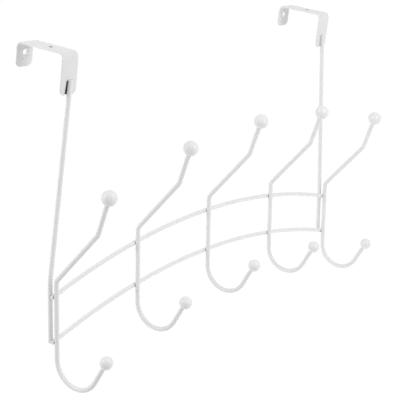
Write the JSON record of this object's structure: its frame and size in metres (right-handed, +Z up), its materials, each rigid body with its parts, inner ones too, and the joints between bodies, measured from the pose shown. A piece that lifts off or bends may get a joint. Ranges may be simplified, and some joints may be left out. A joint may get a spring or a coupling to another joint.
{
  "type": "over-door hook rack",
  "caption": "White wire over-door hook rack: strap brackets sit on the door's top edge, leaning uprights carry arched rails, and ball-tipped double hooks hold coats and bags.",
  "frame": {"origin": "on the door's top front edge, midway between the brackets: the height of the seats under the top plates and the plane of the front legs' door faces", "axes": "+X along the rails, -Y out into the room, +Y across the door's thickness, +Z up"},
  "size_m": [0.4246, 0.1261, 0.2581],
  "materials": {
    "strap": "white powder coat, semi-gloss",
    "wire": "white powder coat, semi-gloss",
    "ball": "moulded white, gloss",
    "weld": "bare dark weld metal"
  },
  "bodies": {
    "root": {"bracket_left": "strap", "bracket_right": "strap", "upright_left": "wire", "upright_right": "wire", "weld_left": "weld", "weld_right": "weld", "rail_upper": "wire", "rail_lower": "wire", "hook_1": "wire", "hook_2": "wire", "hook_3": "wire", "hook_4": "wire", "hook_5": "wire", "ball_upper_1": "ball", "ball_upper_2": "ball", "ball_upper_3": "ball", "ball_upper_4": "ball", "ball_upper_5": "ball", "ball_lower_1": "ball", "ball_lower_2": "ball", "ball_lower_3": "ball", "ball_lower_4": "ball", "ball_lower_5": "ball"}
  },
  "joints": []
}
